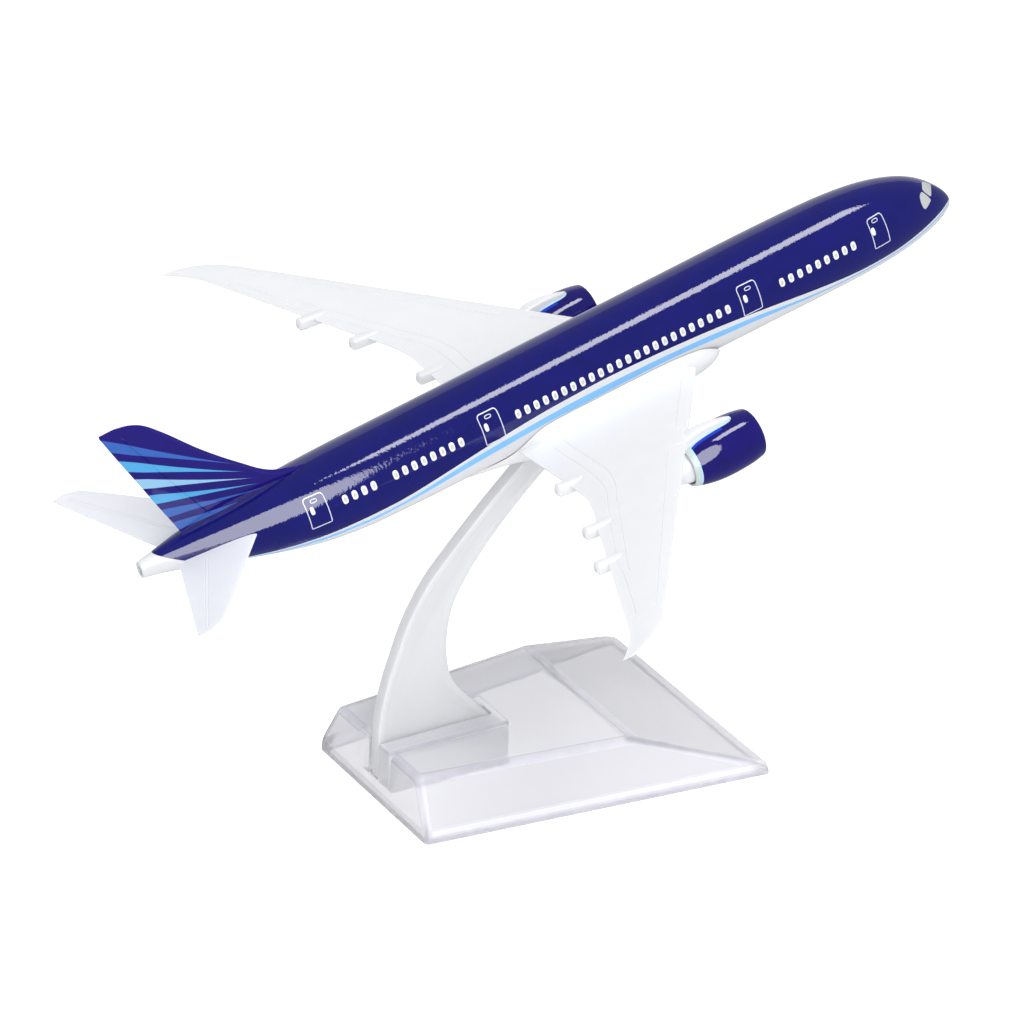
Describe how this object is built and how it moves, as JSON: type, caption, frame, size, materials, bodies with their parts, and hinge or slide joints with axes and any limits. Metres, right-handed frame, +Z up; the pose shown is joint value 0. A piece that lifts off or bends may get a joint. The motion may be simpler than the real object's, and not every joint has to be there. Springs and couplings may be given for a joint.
{
  "type": "desktop airliner model",
  "caption": "Small die-cast twin-engine airliner model, nose up on a curved translucent arm that plugs into a clear sloping stand base.",
  "frame": {"origin": "on the surface the base stands on, under the middle of the whole model", "axes": "+X towards the nose, +Y to the port side, +Z up"},
  "size_m": [0.161, 0.1508, 0.0924],
  "materials": {
    "navy_enamel": "gloss navy enamel over a zinc die casting",
    "white_enamel": "gloss white enamel over a zinc die casting",
    "white_tail_enamel": "gloss white enamel",
    "navy_cowl_enamel": "gloss navy over moulded plastic, white rear band",
    "core_white_plastic": "gloss white moulded plastic",
    "fan_grey_plastic": "satin grey moulded plastic",
    "screw_steel": "bright zinc-plated steel",
    "milky_plastic": "milky translucent moulded plastic",
    "clear_plastic": "clear moulded polystyrene, faint lavender edge"
  },
  "bodies": {
    "base": {"stand_base": "clear_plastic"},
    "arm": {"stand_arm": "milky_plastic"},
    "aircraft": {"fuselage": "navy_enamel", "wing_casting": "white_enamel", "left_tailplane": "white_tail_enamel", "right_tailplane": "white_tail_enamel", "left_nacelle_cowl": "navy_cowl_enamel", "right_nacelle_cowl": "navy_cowl_enamel", "left_fan_insert": "fan_grey_plastic", "right_fan_insert": "fan_grey_plastic", "left_engine_core": "core_white_plastic", "right_engine_core": "core_white_plastic", "belly_screw_front": "screw_steel", "belly_screw_rear": "screw_steel"}
  },
  "joints": [
    {"name": "arm_lift", "type": "slide", "parent": "base", "child": "arm", "axis": [0, 0, 1], "range_m": [0, 0.012]},
    {"name": "aircraft_lift", "type": "slide", "parent": "arm", "child": "aircraft", "axis": [0.7071, 0, 0.7071], "range_m": [0, 0.015]}
  ]
}
